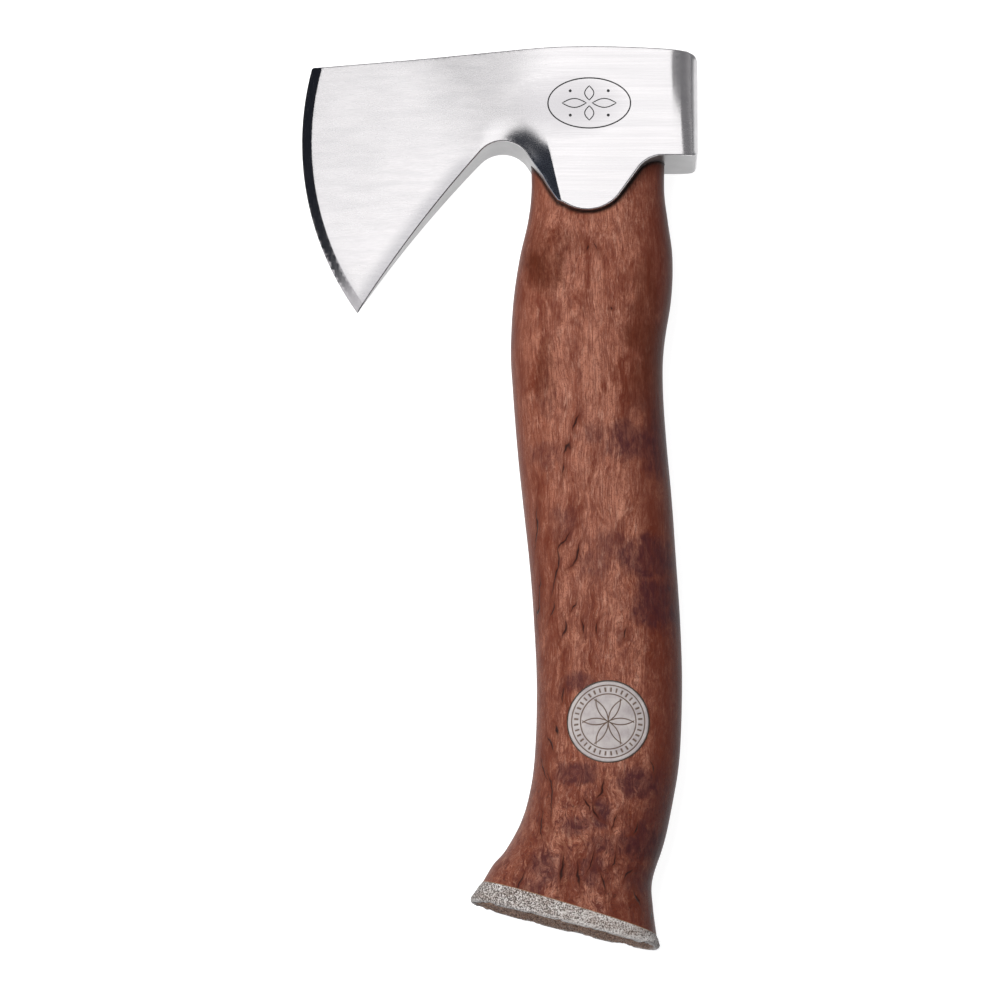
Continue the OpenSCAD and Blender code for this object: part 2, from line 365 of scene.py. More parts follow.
def steel_material():
    """Satin-ground cheek: streaks run along X, with a few scratches and faint clouding, and painted shade in
    the scoop and along the beard.
    """
    n = Nodes("ground_steel")
    streaks = n.noise((0.05, 3.2, 3.2), 4, 0.62)
    broad = n.noise((0.02, 0.5, 0.5), 3, 0.55, offset=(5, 2, 0))
    cloud = n.noise((0.06, 0.09, 0.09), 3)
    fleck = n.noise((0.16, 3.4, 3.4), 2, offset=(31, 17, 1))
    tint = n.mix(n.ramp(streaks, [(0.32, 0), (0.7, 1)]), (0.78, 0.755, 0.76), (0.9, 0.875, 0.88))
    tint = n.mix(n.ramp(broad, [(0.3, 0.3), (0.6, 0)]), tint, (0.62, 0.61, 0.62))
    x, y, _ = n.split()
    # a darker patch between the blade and the eye
    darker_patch = n.slope(streaks, 0.5, n.spread(x, y, (-8.0, -0.5), (17.0, 10.0)))
    darker_patch = n.minus(1.25, darker_patch, bounded=True)
    tint = n.mix(n.times(darker_patch, 0.85), tint, (0.6, 0.58, 0.595))
    # painted shade: the scoop is darker, up to the crease beside the lug
    scoop = n.minus(1.5, n.spread(x, y, (-14.0, -23.0), (8.0, 10.0)), bounded=True)
    crease = n.slope(y, -CREASE_LEAN, crease_x(0))
    beside = n.slope(n.minus(crease, x), 4.0, 0.0, bounded=True)
    tint = n.mix(n.times(scoop, beside), tint, (0.3, 0.32, 0.38))
    # painted shade also darkens the blade along the beard
    near = n.times(n.attribute("beard_edge_shade"), n.slope(streaks, 0.8, 0.3))
    tint = n.mix(near, tint, (0.46, 0.45, 0.47))
    tint = n.mix(n.ramp(fleck, [(0.72, 0), (0.79, 0.3)]), tint, (0.34, 0.34, 0.36))
    rough = n.slope(cloud, 0.08, n.slope(streaks, 0.12, 0.16))
    return n.surface(tint, rough, n.slope(broad, 0.6, streaks), 0.10, 0.00002, Metallic=1)


def painted_shade_steel(name, dark, light):
    """The narrow sides of the head and the poll's edge: ground less finely than its cheeks, and darker, which
    paints the shade these faces lie in.
    """
    n = Nodes(name)
    streaks = n.noise((0.12, 0.12, 4.0), 4, 0.6)
    cloud = n.noise((0.15, 0.15, 0.15), 3)
    tint = n.mix(streaks, (dark, 0.985 * dark, dark), (light, 0.985 * light, light))
    tint = n.mix(n.ramp(cloud, [(0.35, 0.35), (0.65, 0)]), tint, (0.8 * dark,) * 3)
    return n.surface(tint, n.slope(streaks, 0.14, 0.26), streaks, 0.12, 0.00002, Metallic=1)


def bevel_steel_material():
    """The honed bevel, polished nearly to a mirror."""
    n = Nodes("honed_edge")
    streaks = n.noise((1.5, 0.25, 1.5), 4, 0.6)
    tint = n.mix(streaks, (0.34, 0.33, 0.345), (0.52, 0.5, 0.51))
    return n.surface(tint, n.slope(streaks, 0.07, 0.07), streaks, 0.08, 0.00001, Metallic=1)


def speckled_material(name, grain, dark, light, rough, relief, metallic=0.0, detail=3, roughness=0.5):
    """A small plain part; rough is the rise and start of its roughness, relief its bump's two numbers."""
    n = Nodes(name)
    spots = n.noise((grain,) * 3, detail, roughness)
    return n.surface(n.mix(spots, dark, light), n.slope(spots, *rough), spots, *relief, Metallic=metallic)


# Stain that sank in deeper: middle x and y, half width and half length, strength
BLOTCHES = [
    (9, -93.5, 9, 5.6, 1), (17.5, -92, 7, 11, 0.9), (-0.5, -92, 5, 3.2, 0.5), (13.5, -125.5, 8, 6, 1),
    (17.5, -138, 8.5, 8, 1), (3, -121.5, 6, 4, 0.5), (-9.5, -116, 3.6, 5, 0.6),
    (-1.5, -127.5, 4, 4.5, 0.5), (-14.5, -97, 4, 4, 0.5), (-14.5, -43.5, 5.2, 9.5, 1),
    (-10.5, -38, 7.5, 4, 0.6), (13, -64, 6.5, 4.5, 0.7), (12.5, -55, 3.4, 12, 0.55), (11, -80, 4, 9, 0.6),
    (16, -76, 5, 10, 0.75), (-14, -76, 2.8, 10, 0.6), (-6.2, -160, 4, 3.2, 0.75),
    (-6.5, -184.5, 6, 3, 0.9), (10.5, -187, 6.5, 4, 1), (0.5, -195.5, 3.4, 4, 1),
    (-6.5, -199, 4.6, 2.6, 0.75), (13, -203, 7, 5, 1), (2.5, -204, 6.5, 3, 0.7),
    (-13.5, -210, 6, 5, 0.75), (-1, -211.5, 5, 4.5, 0.7), (11, -213, 5, 4, 0.7), (-19, -216, 5, 4, 0.7),
    (16, -196, 3.4, 14, 0.6)]

# Fissures of the curly grain: middle x and y, half length, half width, lean in degrees, bend
FISSURES = [
    (-6, -125, 4.4, 0.5, 26, 0.02), (-11.4, -129, 8.4, 0.34, 9, 0.01), (-9.4, -121, 4, 0.26, 34, -0.024),
    (-6.3, -88.5, 2.6, 0.34, 10, -0.03), (-8.2, -95.5, 1.9, 0.4, 14, 0.02),
    (-9.6, -101, 2, 0.2, 16, 0.02), (-9.4, -145, 3, 0.42, 4, 0.07), (-3.9, -144.5, 2.4, 0.28, -4, 0.05),
    (-0.5, -145, 2, 0.24, 14, -0.05), (-7.4, -139, 1.8, 0.22, 20, 0.05), (-16.8, -117, 7, 0.24, 4, 0.004),
    (-16.2, -137, 9, 0.26, 2, 0.004), (-12.6, -139.5, 2.6, 0.26, 16, 0.02),
    (-13, -176, 2.6, 0.34, -24, 0.012), (-11.4, -172.5, 1.9, 0.28, -20, 0),
    (-9.6, -163, 2.6, 0.2, 10, 0.03), (-12.7, -190, 8, 0.28, -2, 0.012),
    (-14.6, -183, 4, 0.22, -16, -0.02), (-15.4, -198, 5, 0.22, 4, 0.01), (0.6, -189, 3.6, 0.38, 20, 0.03),
    (-1, -195, 3, 0.36, -26, -0.05), (-3.4, -193, 2.4, 0.24, -30, 0.06),
    (3.6, -197.5, 3, 0.28, 26, -0.06), (10.2, -199.5, 2.2, 0.4, 30, 0.14),
    (7.4, -211.5, 2.2, 0.4, 40, -0.12), (-9.8, -210.5, 5, 0.38, 4, 0.02),
    (-6, -212, 4.4, 0.3, -6, -0.016), (-2.2, -208.5, 3.6, 0.28, 12, 0.03),
    (1, -214.5, 4, 0.34, -10, 0.034), (3.8, -208, 2.8, 0.26, 24, 0.05), (-21, -214, 4.2, 0.28, 24, 0.012),
    (-17.6, -220.5, 2.6, 0.24, -24, 0.02), (14.2, -222, 4.4, 0.3, 0, 0.01),
    (10.6, -218, 2.8, 0.22, -12, 0.03), (-3.2, -40, 1, 0.18, 24, 0.12),
    (-0.6, -39.5, 1.2, 0.18, -18, 0.12), (3.6, -57, 0.5, 0.26, 0, 0), (12.4, -170, 1.8, 0.2, 8, 0.05),
    (14.8, -182.5, 2.2, 0.2, -10, 0.05), (6.8, -146.5, 2, 0.2, 12, 0.05)]


def curly_grain(n, x, y, z, low):
    """The point bent as the fibres are, more strongly towards the butt."""
    wander = n.noise((0.05, 0.022, 0.05), 3)
    curl = n.noise((0.22, 0.11, 0.22), 3, 0.55, offset=(9, 4, 2))
    sway = n.times(n.minus(curl, 0.5), n.slope(low, 6.0, 1.6))
    bent = n.node("ShaderNodeCombineXYZ")
    n.link(n.maths("ADD", n.slope(wander, 8.0, x), sway), bent.inputs[0])
    n.link(y, bent.inputs[1])
    n.link(n.slope(wander, 5.0, z), bent.inputs[2])
    return bent.outputs[0]


def blotch_field(n, x, y, warp):
    """Where the stain sank in deeper, from 0 to 1."""
    dark = None
    for middle_x, middle_y, half_width, half_length, strength in BLOTCHES:
        oval_field = n.spread(x, y, (middle_x, middle_y), (half_width, half_length))
        patch = n.minus(1.42, n.slope(warp, -4.0, oval_field), bounded=True)
        dark = n.largest(dark, n.times(patch, strength))
    return dark


def fissure_fields(n, x, y):
    """The fissures' slits and the darker halo round them, from 0 to 1."""
    wobble = n.slope(n.noise((0.30, 0.15, 0.30), 2, offset=(7, 7, 2)), 3.4, -1.7)
    wavy = n.maths("ADD", x, wobble)
    crack = halo = None
    for middle_x, middle_y, length, width, lean, bend in FISSURES:
        t = math.radians(lean)
        dx, dy = n.minus(wavy, middle_x), n.minus(y, middle_y)
        along = n.slope(dy, math.cos(t), n.times(dx, math.sin(t)))
        aside = n.slope(dx, math.cos(t), n.times(dy, -math.sin(t)))
        square = n.times(along, along)
        aside = n.maths("ABSOLUTE", n.slope(square, bend, aside))
        room = n.slope(square, -width / length ** 2, width)
        gap = n.minus(room, aside)
        crack = n.largest(crack, n.slope(gap, 1 / width, 0.0, bounded=True))
        halo = n.largest(halo, n.slope(gap, 0.75, 0.9, bounded=True))
    return crack, halo


def birch_material():
    """Stained curly birch: long fibres, mottled figure, dark blotches and crescent fissures, with painted
    shade on both edges and a painted shadow where the head meets the wood.
    """
    n = Nodes("curly_birch")
    x, y, z = n.split()
    downward = n.times(y, -1 / 225.0)
    low = n.ramp(downward, [(0.48, 0), (0.6, 0.35), (0.8, 0.5), (0.86, 1)])
    grain = curly_grain(n, x, y, z, low)

    fibre = n.noise((2.3, 0.10, 2.3), 4, 0.70, point=grain)
    fine = n.noise((5.2, 0.42, 5.2), 3, 0.65, point=grain)
    grit = n.noise((3.4, 2.4, 3.4), 3, 0.7)
    band = n.noise((0.22, 0.014, 0.22), 4, 0.6, point=grain)
    mottle = n.noise((0.26, 0.15, 0.26), 5, 0.65, offset=(2, 5, 9), distortion=0.8)
    figure = n.noise((0.62, 0.26, 0.62), 4, 0.62, offset=(6, 1, 4), point=grain, distortion=0.9)
    ray = n.noise((0.85, 0.2, 0.85), 3, 0.6, offset=(3, 8, 1), point=grain)

    flame = n.noise((0.2, 0.06, 0.2), 5, 0.68, offset=(8, 2, 5), point=grain, distortion=0.7)
    colour = n.mix(n.ramp(band, [(0.34, 0), (0.64, 1)]), (0.29, 0.096, 0.055), (0.43, 0.178, 0.115))
    threads = n.noise((3.4, 0.13, 3.4), 3, 0.8, offset=(5, 5, 1), point=grain)
    spots = n.times(n.ramp(figure, [(0.36, 1), (0.52, 0)]), n.slope(low, 0.70, 0.30))
    glow = n.times(n.ramp(figure, [(0.58, 0), (0.7, 1)]), n.slope(low, 0.45, 0.15))
    for amount, stain in (
            (n.ramp(band, [(0.3, 0.7), (0.47, 0)]), (0.17, 0.036, 0.018)),
            (n.ramp(mottle, [(0.32, 0.85), (0.58, 0)]), (0.165, 0.045, 0.026)),
            (n.ramp(fibre, [(0.34, 0.85), (0.56, 0)]), (0.12, 0.026, 0.015)),
            (n.ramp(fine, [(0.5, 0), (0.74, 0.45)]), (0.56, 0.29, 0.21)),
            (n.ramp(ray, [(0.58, 0), (0.7, 0.42)]), (0.58, 0.31, 0.22)),
            (n.ramp(flame, [(0.36, 0.92), (0.51, 0)]), (0.12, 0.022, 0.009)),
            (spots, (0.105, 0.026, 0.018)), (glow, (0.5, 0.235, 0.145)),
            (n.ramp(grit, [(0.34, 0.6), (0.5, 0)]), (0.09, 0.022, 0.014)),
            (n.ramp(threads, [(0.34, 0.75), (0.45, 0)]), (0.085, 0.019, 0.011)),
            (n.ramp(threads, [(0.57, 0), (0.68, 0.4)]), (0.55, 0.27, 0.19))):
        colour = n.mix(amount, colour, stain)

    # painted shade: both edges are darker, the right one most, where the light falls away
    warp = n.minus(n.noise((0.17, 0.1, 0.17), 5, 0.72, offset=(1, 6, 2)), 0.5)
    shaded = n.slope(warp, 0.9, n.attribute("across"))
    right = n.ramp(shaded, [(0.3, 0), (0.62, 0.52), (0.97, 0.86)])
    left = n.ramp(n.times(shaded, -1.0), [(0.52, 0), (1, 0.62)])
    colour = n.mix(right, colour, (0.1, 0.019, 0.01))
    colour = n.mix(left, colour, (0.15, 0.036, 0.019))

    clouds = n.ramp(n.slope(figure, 0.6, n.times(mottle, 0.5)), [(0.44, 0.92), (0.66, 0.52)])
    purple = n.mix(fibre, (0.02, 0.006, 0.008), (0.08, 0.018, 0.021))
    russet = n.mix(fibre, (0.036, 0.007, 0.003), (0.112, 0.022, 0.008))
    stain = n.mix(n.ramp(downward, [(0.34, 0), (0.41, 1)]), russet, purple)
    colour = n.mix(n.times(blotch_field(n, x, y, warp), clouds), colour, stain)

    # thin curls along level curves, thicker towards the butt
    swirl = n.noise((0.3, 0.075, 0.3), 2, 0.45, offset=(4, 3, 7), point=grain)
    level = n.maths("FRACT", n.times(swirl, 21.0))
    curls = n.ramp(n.maths("ABSOLUTE", n.minus(level, 0.5)), [(0, 1), (0.1, 0)])
    hair = n.times(curls, low, n.ramp(mottle, [(0.38, 0.15), (0.52, 1)]))
    colour = n.mix(n.times(hair, 0.82), colour, (0.042, 0.012, 0.009))

    # fissures, on the front only
    crack, halo = fissure_fields(n, x, y)
    front = n.ramp(z, [(0, 0), (1, 1)])
    crack = n.times(crack, front)
    colour = n.mix(n.times(halo, front, 0.72), colour, (0.098, 0.02, 0.01))
    colour = n.mix(n.ramp(crack, [(0, 0), (0.75, 0.94)]), colour, (0.02, 0.007, 0.006))

    # painted shadow: a dark line on the wood where the head meets it
    colour = n.mix(n.times(n.attribute("head_shadow"), 0.9), colour, (0.012, 0.006, 0.005))
    relief = n.slope(fine, 0.5, fibre)
    relief = n.slope(n.largest(crack, n.times(hair, 0.4)), -2.5, relief)
    return n.surface(colour, n.slope(fibre, 0.20, 0.34), n.maths("ADD", halo, relief), 0.5, 0.00016,
                     Specular_IOR_Level=0.15)


def wedge_wood_material():
    n = Nodes("wedge_end_grain")
    rings = n.noise((0.9, 0.3, 2.6), 4)
    pores = n.cells((3.2, 3.2, 3.2))
    colour = n.mix(rings, (0.3, 0.17, 0.09), (0.52, 0.34, 0.19))
    colour = n.mix(n.ramp(pores, [(0.05, 0.6), (0.3, 0)]), colour, (0.16, 0.08, 0.04))
    return n.surface(colour, n.slope(rings, 0.2, 0.5), pores, 0.3, 0.0001)


def disc_material():
    """Sanded antler, with the engraving's burnt lines from the mesh's own mark attribute."""
    n = Nodes("antler_disc")
    haze = n.noise((0.16, 0.24, 0.16), 4, 0.6)
    fine = n.noise((1.6, 0.7, 1.6), 4, 0.65)
    colour = n.mix(n.ramp(haze, [(0.3, 0), (0.7, 1)]), (0.315, 0.275, 0.275), (0.47, 0.43, 0.415))
    colour = n.mix(n.ramp(fine, [(0.5, 0), (0.8, 0.5)]), colour, (0.24, 0.2, 0.19))
    colour = n.mix(n.attribute("mark"), colour, n.mix(fine, (0.036, 0.021, 0.016), (0.16, 0.1, 0.065)))
    return n.surface(colour, n.slope(haze, 0.15, 0.40), fine, 0.2, 0.00005, Specular_IOR_Level=0.4)


def cap_material():
    """The rim and core attributes choose between the granular bark, the chamfer and the porous core."""
    n = Nodes("antler_cap")
    specks = n.noise((2.3, 2.3, 2.3), 2, 0.7)
    coarse = n.noise((0.3, 0.5, 0.3), 4, 0.7)
    haze = n.noise((0.16, 0.5, 0.16), 4, 0.6, offset=(2, 1, 6))
    x = n.split()[0]
    bark = n.mix(n.ramp(haze, [(0.35, 0), (0.65, 1)]), (0.3, 0.245, 0.215), (0.56, 0.525, 0.5))
    leftward = n.ramp(n.slope(x, -1 / 70.0, 0.35), [(0.15, 0), (0.75, 1)])
    amount = n.slope(leftward, 0.07, n.slope(coarse, 0.16, 0.385))
    speck = n.slope(n.minus(amount, specks), 15.0, 0.0, bounded=True)
    bark = n.mix(n.times(speck, 0.94), bark, n.mix(coarse, (0.01, 0.008, 0.008), (0.1, 0.07, 0.055)))
    bright = n.slope(n.minus(specks, 0.57), 14.0, 0.0, bounded=True)
    bark = n.mix(n.times(bright, 0.8), bark, (0.74, 0.72, 0.7))
    rim = n.mix(n.ramp(coarse, [(0.35, 0), (0.65, 1)]), (0.5, 0.455, 0.43), (0.82, 0.79, 0.77))
    rim = n.mix(n.times(speck, n.slope(leftward, 0.6, 0.15)), rim, (0.04, 0.03, 0.03))
    core = n.mix(n.ramp(specks, [(0.38, 0), (0.62, 1)]), (0.1, 0.046, 0.03), (0.66, 0.41, 0.29))
    colour = n.mix(n.attribute("rim"), bark, rim)
    colour = n.mix(n.attribute("core"), colour, core)
    return n.surface(colour, n.slope(haze, 0.2, 0.45), specks, 0.7, 0.0003)


# ---- Head ----

FOOT_Y = -14.6
ARCH = ((-19.6, -13.2), (-25.9, -9.9), (-32.0, -12.4))
CREASE_FOOT = (-10.0, -27.3)
CREASE_LEAN = 0.235


def crease_x(y):
    """The crease beside the lug, which leans back as it rises."""
    return CREASE_FOOT[0] - CREASE_LEAN * (y - CREASE_FOOT[1])


def crown_height(x):
    return CROWN_Y - (x + 2.5) ** 2 / 600


def head_outline():
    """Points round the head's side view, clockwise from the toe."""
    top = [(-78.35, 12.75), (-77.9, 12.78)]
    top += [(x, lerp(12.78, crown_height(-17.5), (x + 77.9) / 60.4)) for x in range(-74, -17, 4)]
    top += [(-17.5 + i, crown_height(-17.5 + i)) for i in range(1, 43)]
    corner = arc_about((24.8, crown_height(POLL_X) - 2.5), 2.5, math.radians(75), 0, 8)
    foot = arc_about((25.8, FOOT_Y + 1.5), 1.5, 0, -math.pi / 2, 8)
    fillet = arc_through((16.5, FOOT_Y), (13.6, -15.7), (11.5, -17.4), 9)
    lug_side = [(11.5, -17.4), (8.2, -22.0)]
    tip = arc_through((5.3, -26.0), (-1.5, -29.6), (-9.0, -27.9), 22)
    front = arc_through((-11.0, -26.9), (-13.2, -23.6), (-15.0, -20.2), 6)
    arch = arc_through(*ARCH, 26)
    beard = arc_through((-33.4, -13.9), (-46.4, -29.2), (-65.7, -55.8), 40)
    heel = math.atan2(-55.95 - EDGE_CENTRE[1], -66.0 - EDGE_CENTRE[0])
    toe = math.atan2(12.3 - EDGE_CENTRE[1], -78.6 - EDGE_CENTRE[0])
    bit = arc_about(EDGE_CENTRE, EDGE_RADIUS, heel % (2 * math.pi), toe % (2 * math.pi), 120)
    outline = resample(top + corner + foot + fillet + lug_side + tip + front + arch + beard + bit + top[:1],
                       0.55)[:-1]
    kept = []
    for p in outline:
        if not kept or math.dist(p, kept[-1]) > 0.12:
            kept.append(p)
    return kept


# The poll's long edges: a soft knee that starts further in at the top, then a full rounding
KNEE_END = 0.9
KNEE_SINE = 0.70
REAR_SINE = 0.985


def poll_drop(x, y):
    """How far the rounding of the poll's long edge lies below the flat cheek."""
    start = lerp(4.8, 8.2, smoothstep(-16, 11, y))
    d = max(0.0, POLL_X - x)
    if d >= start:
        return 0.0
    knee = (start - KNEE_END) / KNEE_SINE
    into = start - max(d, KNEE_END)
    drop = knee - math.sqrt(knee ** 2 - into ** 2)
    if d < KNEE_END:
        r = KNEE_END / (REAR_SINE - KNEE_SINE)
        sine = KNEE_SINE + (KNEE_END - d) / r
        drop += r * (math.sqrt(1 - KNEE_SINE ** 2) - math.sqrt(1 - sine ** 2))
    return drop


DISH_REACH = 7.5
DISH_DEPTH = 0.52
ARCH_CENTRE, ARCH_RADIUS = circle_through(*ARCH)


def dish(x, y):
    """The soft hollow that runs from the scoop round the top of the arch."""
    gap = math.dist((x, y), ARCH_CENTRE) - ARCH_RADIUS
    part = smoothstep(-32, -20, x) * smoothstep(-9, -14, x) * smoothstep(-22, -14, y)
    rise = max(0.0, DISH_REACH - max(gap, 0.0))
    return DISH_DEPTH * part * rise * rise / (2 * DISH_REACH)


SCOOP_SLOPE = 0.215
SCOOP_STEP = 0.38
SCOOP_REACH = 3.0
BEND_X = -14.0
BEND_WIDTH = 3.0
BEND_SLOPE = 0.225


def half_thickness(x, y):
    """Half the head's thickness at a point of its side view."""
    depth = EDGE_RADIUS - math.dist((x, y), EDGE_CENTRE)
    if depth < BEVEL_WIDTH:
        return max(0.02, BEVEL_HALF * depth / BEVEL_WIDTH)
    if x > 10:
        return HALF - poll_drop(x, y)
    # low down the scoop falls away at the crease; higher up the cheek bends softly
    run = crease_x(y) - x
    hollow = HALF
    if run > 0:
        hollow = HALF - SCOOP_SLOPE * run - SCOOP_STEP * SCOOP_REACH * (1 - math.exp(-run / SCOOP_REACH))
    bend = BEND_WIDTH * math.log1p(math.exp(clamp((BEND_X - x) / BEND_WIDTH, -30, 30)))
    soft = HALF - BEND_SLOPE * bend + 0.004
    body = min(HALF, lerp(min(soft, HALF), hollow, smoothstep(-9, -21, y)))
    if x > -9:
        return body
    blade = BEVEL_HALF + TAPER * (depth - BEVEL_WIDTH)
    return min(HALF, smooth_max(blade, body, 0.5)) - dish(x, y)


def inside(point, polygon):
    x, y = point
    found = False
    for (x0, y0), (x1, y1) in zip(polygon, polygon[1:] + polygon[:1]):
        if (y0 > y) != (y1 > y) and x < (x1 - x0) * (y - y0) / (y1 - y0) + x0:
            found = not found
    return found


def crease_lines():
    """Support lines on both sides of each crease of the cheek, so that smooth shading keeps it crisp."""
    lines = []
    for gap in (-0.07, 0.07):
        r = EDGE_RADIUS - BEVEL_WIDTH + gap
        lines.append(arc_about(EDGE_CENTRE, r, math.radians(160), math.radians(222), 140))
        lines.append([(crease_x(y) + gap, y) for y in [-30 + 0.5 * i for i in range(56)]])
    return lines


def gaps_from(outline, obj):
    """For every vertex, its point and its distance from the outline, both in the side view's millimetres."""
    tree = KDTree(len(outline))
    for i, (x, y) in enumerate(outline):
        tree.insert((x, y, 0), i)
    tree.balance()
    for vertex in obj.data.vertices:
        p = (vertex.co - ORIGIN) / MM
        yield p, tree.find((p.x, p.y, 0))[2]


def edge_rounding(x, y, h):
    """How far the edge's rounding reaches inwards and down from the cheek, and how straight it is."""
    small = min(0.4, 0.6 * h)
    at_poll = smoothstep(26.6, 27.25, x) * smoothstep(-14.2, -12.8, y) * smoothstep(13.8, 12.6, y)
    return lerp(small, 0.12, at_poll), lerp(small, 0.55, at_poll), at_poll


def inward_normals(outline):
    """Unit normals of the clockwise outline."""
    normals = []
    for i in range(len(outline)):
        (x0, y0), (x1, y1) = outline[i - 1], outline[(i + 1) % len(outline)]
        length = math.dist((x0, y0), (x1, y1))
        normals.append(((y1 - y0) / length, -(x1 - x0) / length))
    return normals


def cheek_net(rim):
    """The cheek's points and triangles in the side view, and the rim's indices among the points."""
    points = [Vector(p) for p in rim]
    edges = []
    for line in crease_lines():
        inner = [p for p in line if inside(p, rim) and min(math.dist(p, q) for q in rim) > 0.12]
        start = len(points)
        points += [Vector(p) for p in inner]
        edges += [(start + i, start + i + 1) for i in range(len(inner) - 1)
                  if math.dist(inner[i], inner[i + 1]) < 1.5]
    step = 0.9
    columns = [-82 + step * i for i in range(115)]
    # closer together where the poll rounds off
    columns += [POLL_X - d for d in (0.25, 0.5, 0.8, 1.1, 1.4, 1.7, 2.0, 2.4, 2.8, 3.2, 3.7, 4.2, 4.8)]
    for column, x in enumerate(columns):
        for row in range(84):
            p = (x, -57 + step * (row + 0.5 * (column % 2)))
            if inside(p, rim) and min(math.dist(p, q) for q in rim) > 0.4 * step:
                points.append(Vector(p))
    flat_points, _, triangles, origins, *_ = geometry.delaunay_2d_cdt(
        points, edges, [list(range(len(rim)))], 1, 1e-5)
    new_of = {old: new for new, olds in enumerate(origins) for old in olds}
    return flat_points, triangles, [new_of[i] for i in range(len(rim))]


def head_mesh(materials):
    """Both cheeks, and between them the rounded edge and the wall as rings round the outline."""
    outline = head_outline()
    normals = inward_normals(outline)
    rounding = [edge_rounding(x, y, half_thickness(x + 0.4 * nx, y + 0.4 * ny))
                for (x, y), (nx, ny) in zip(outline, normals)]
    rim = [(x + nx * a, y + ny * a) for (x, y), (nx, ny), (a, *_) in zip(outline, normals, rounding)]
    flat_points, triangles, rim_indices = cheek_net(rim)
    vertices, faces = [], []
    heights = [half_thickness(p.x, p.y) for p in flat_points]
    for side in (1, -1):
        base = len(vertices)
        vertices += [at(p.x, p.y, side * h) for p, h in zip(flat_points, heights)]
        for t in triangles:
            faces.append([base + i for i in t][::side])
    rows = [(p, normal, r, half_thickness(*q))
            for p, normal, r, q in zip(outline, normals, rounding, rim)]
    turns, wall = 4, 8
    angles = [math.pi / 2 * k / turns for k in range(1, turns + 1)]
    loops = [rim_indices]
    loops += [rounded_ring(vertices, rows, 1, angle) for angle in angles]
    loops += [wall_ring(vertices, rows, 1 - 2 * k / wall) for k in range(1, wall)]
    loops += [rounded_ring(vertices, rows, -1, angle) for angle in reversed(angles)]
    loops.append([len(flat_points) + i for i in rim_indices])
    count = len(outline)
    for upper, lower in zip(loops, loops[1:]):
        for i in range(count):
            j = (i + 1) % count
            faces.append([upper[i], upper[j], lower[j], lower[i]])
    head = closed_object("head_forged", vertices, faces)
    for material in materials:
        head.data.materials.append(material)
    # painted shade along the beard's edge, which the cheek's material darkens
    beard_shade_mask = [smoothstep(5.0, 0.4, gap) * smoothstep(-22, -34, p.x) * smoothstep(-10, -18, p.y)
              * smoothstep(-76, -66, p.x) for p, gap in gaps_from(outline, head)]
    set_attribute(head, "beard_edge_shade", beard_shade_mask)
    return head


def choose_finishes(head):
    """Gives every face its material's index: cheek, bevel, or a darker copy of the steel, chosen by which way
    the face points, that paints shade on the narrow sides and the poll's edge.
    """
    cheek, bevel, side_in_shade, poll = range(4)
    for polygon in head.data.polygons:
        c = (polygon.center - ORIGIN) / MM
        normal = polygon.normal
        tilt = abs(normal.z)
        rear = c.x > POLL_X - KNEE_END - 1 and abs(normal.x) > abs(normal.y)
        finish = cheek
        if EDGE_RADIUS - math.dist((c.x, c.y), EDGE_CENTRE) < BEVEL_WIDTH:
            finish = bevel
        elif rear and tilt < 0.80:
            finish = poll
        elif tilt < 0.35:
            finish = side_in_shade
        polygon.material_index = finish


def rounded_ring(vertices, rows, side, angle):
    """One ring of the rounded edge, from the cheek at 0 to the wall at a right angle."""
    start = len(vertices)
    even = 2 * angle / math.pi
    for (x, y), (nx, ny), (inward, down, straight), h in rows:
        back = inward * (1 - lerp(math.sin(angle), even, straight))
        sunk = down * lerp(1 - math.cos(angle), even, straight)
        vertices.append(at(x + nx * back, y + ny * back, side * (h - sunk)))
    return list(range(start, len(vertices)))


def wall_ring(vertices, rows, share):
    """One ring across the wall; share runs from 1 at the near cheek to -1 at the far one."""
    start = len(vertices)
    vertices += [at(x, y, share * (h - down)) for (x, y), _, (_, down, _), h in rows]
    return list(range(start, len(vertices)))


def oval(a, b, squareness, sides, turn=0.0):
    points = []
    for i in range(sides):
        t = 2 * math.pi * (i + turn) / sides
        c, s = math.cos(t), math.sin(t)
        points.append((math.copysign(abs(c) ** (2 / squareness), c) * a,
                       math.copysign(abs(s) ** (2 / squareness), s) * b))
    return points


def prism(name, loop, low, high, material=None, place=at):
    """Closed prism of a loop between two heights."""
    n = len(loop)
    vertices = [place(*p, height) for height in (low, high) for p in loop]
    faces = [list(range(n)), list(range(n, 2 * n))]
    faces += [[i, (i + 1) % n, n + (i + 1) % n, n + i] for i in range(n)]
    return closed_object(name, vertices, faces, material)


def groove_tool(points, width, depth, material):
    """A thin strip that follows a closed line and reaches a set depth below the cheek."""
    n = len(points)
    vertices, faces = [], []
    for i, (x, y) in enumerate(points):
        (x0, y0), (x1, y1) = points[i - 1], points[(i + 1) % n]
        tx, ty = x1 - x0, y1 - y0
        length = math.hypot(tx, ty) or 1
        nx, ny = -ty / length * width / 2, tx / length * width / 2
        floor = half_thickness(x, y) - depth
        for sx, sy, z in ((nx, ny, floor), (-nx, -ny, floor), (-nx, -ny, HALF + 1), (nx, ny, HALF + 1)):
            vertices.append(at(x + sx, y + sy, z))
    for i in range(n):
        j = (i + 1) % n
        for k in range(4):
            faces.append([4 * i + k, 4 * i + (k + 1) % 4, 4 * j + (k + 1) % 4, 4 * j + k])
    return closed_object("groove_tool", vertices, faces, material)


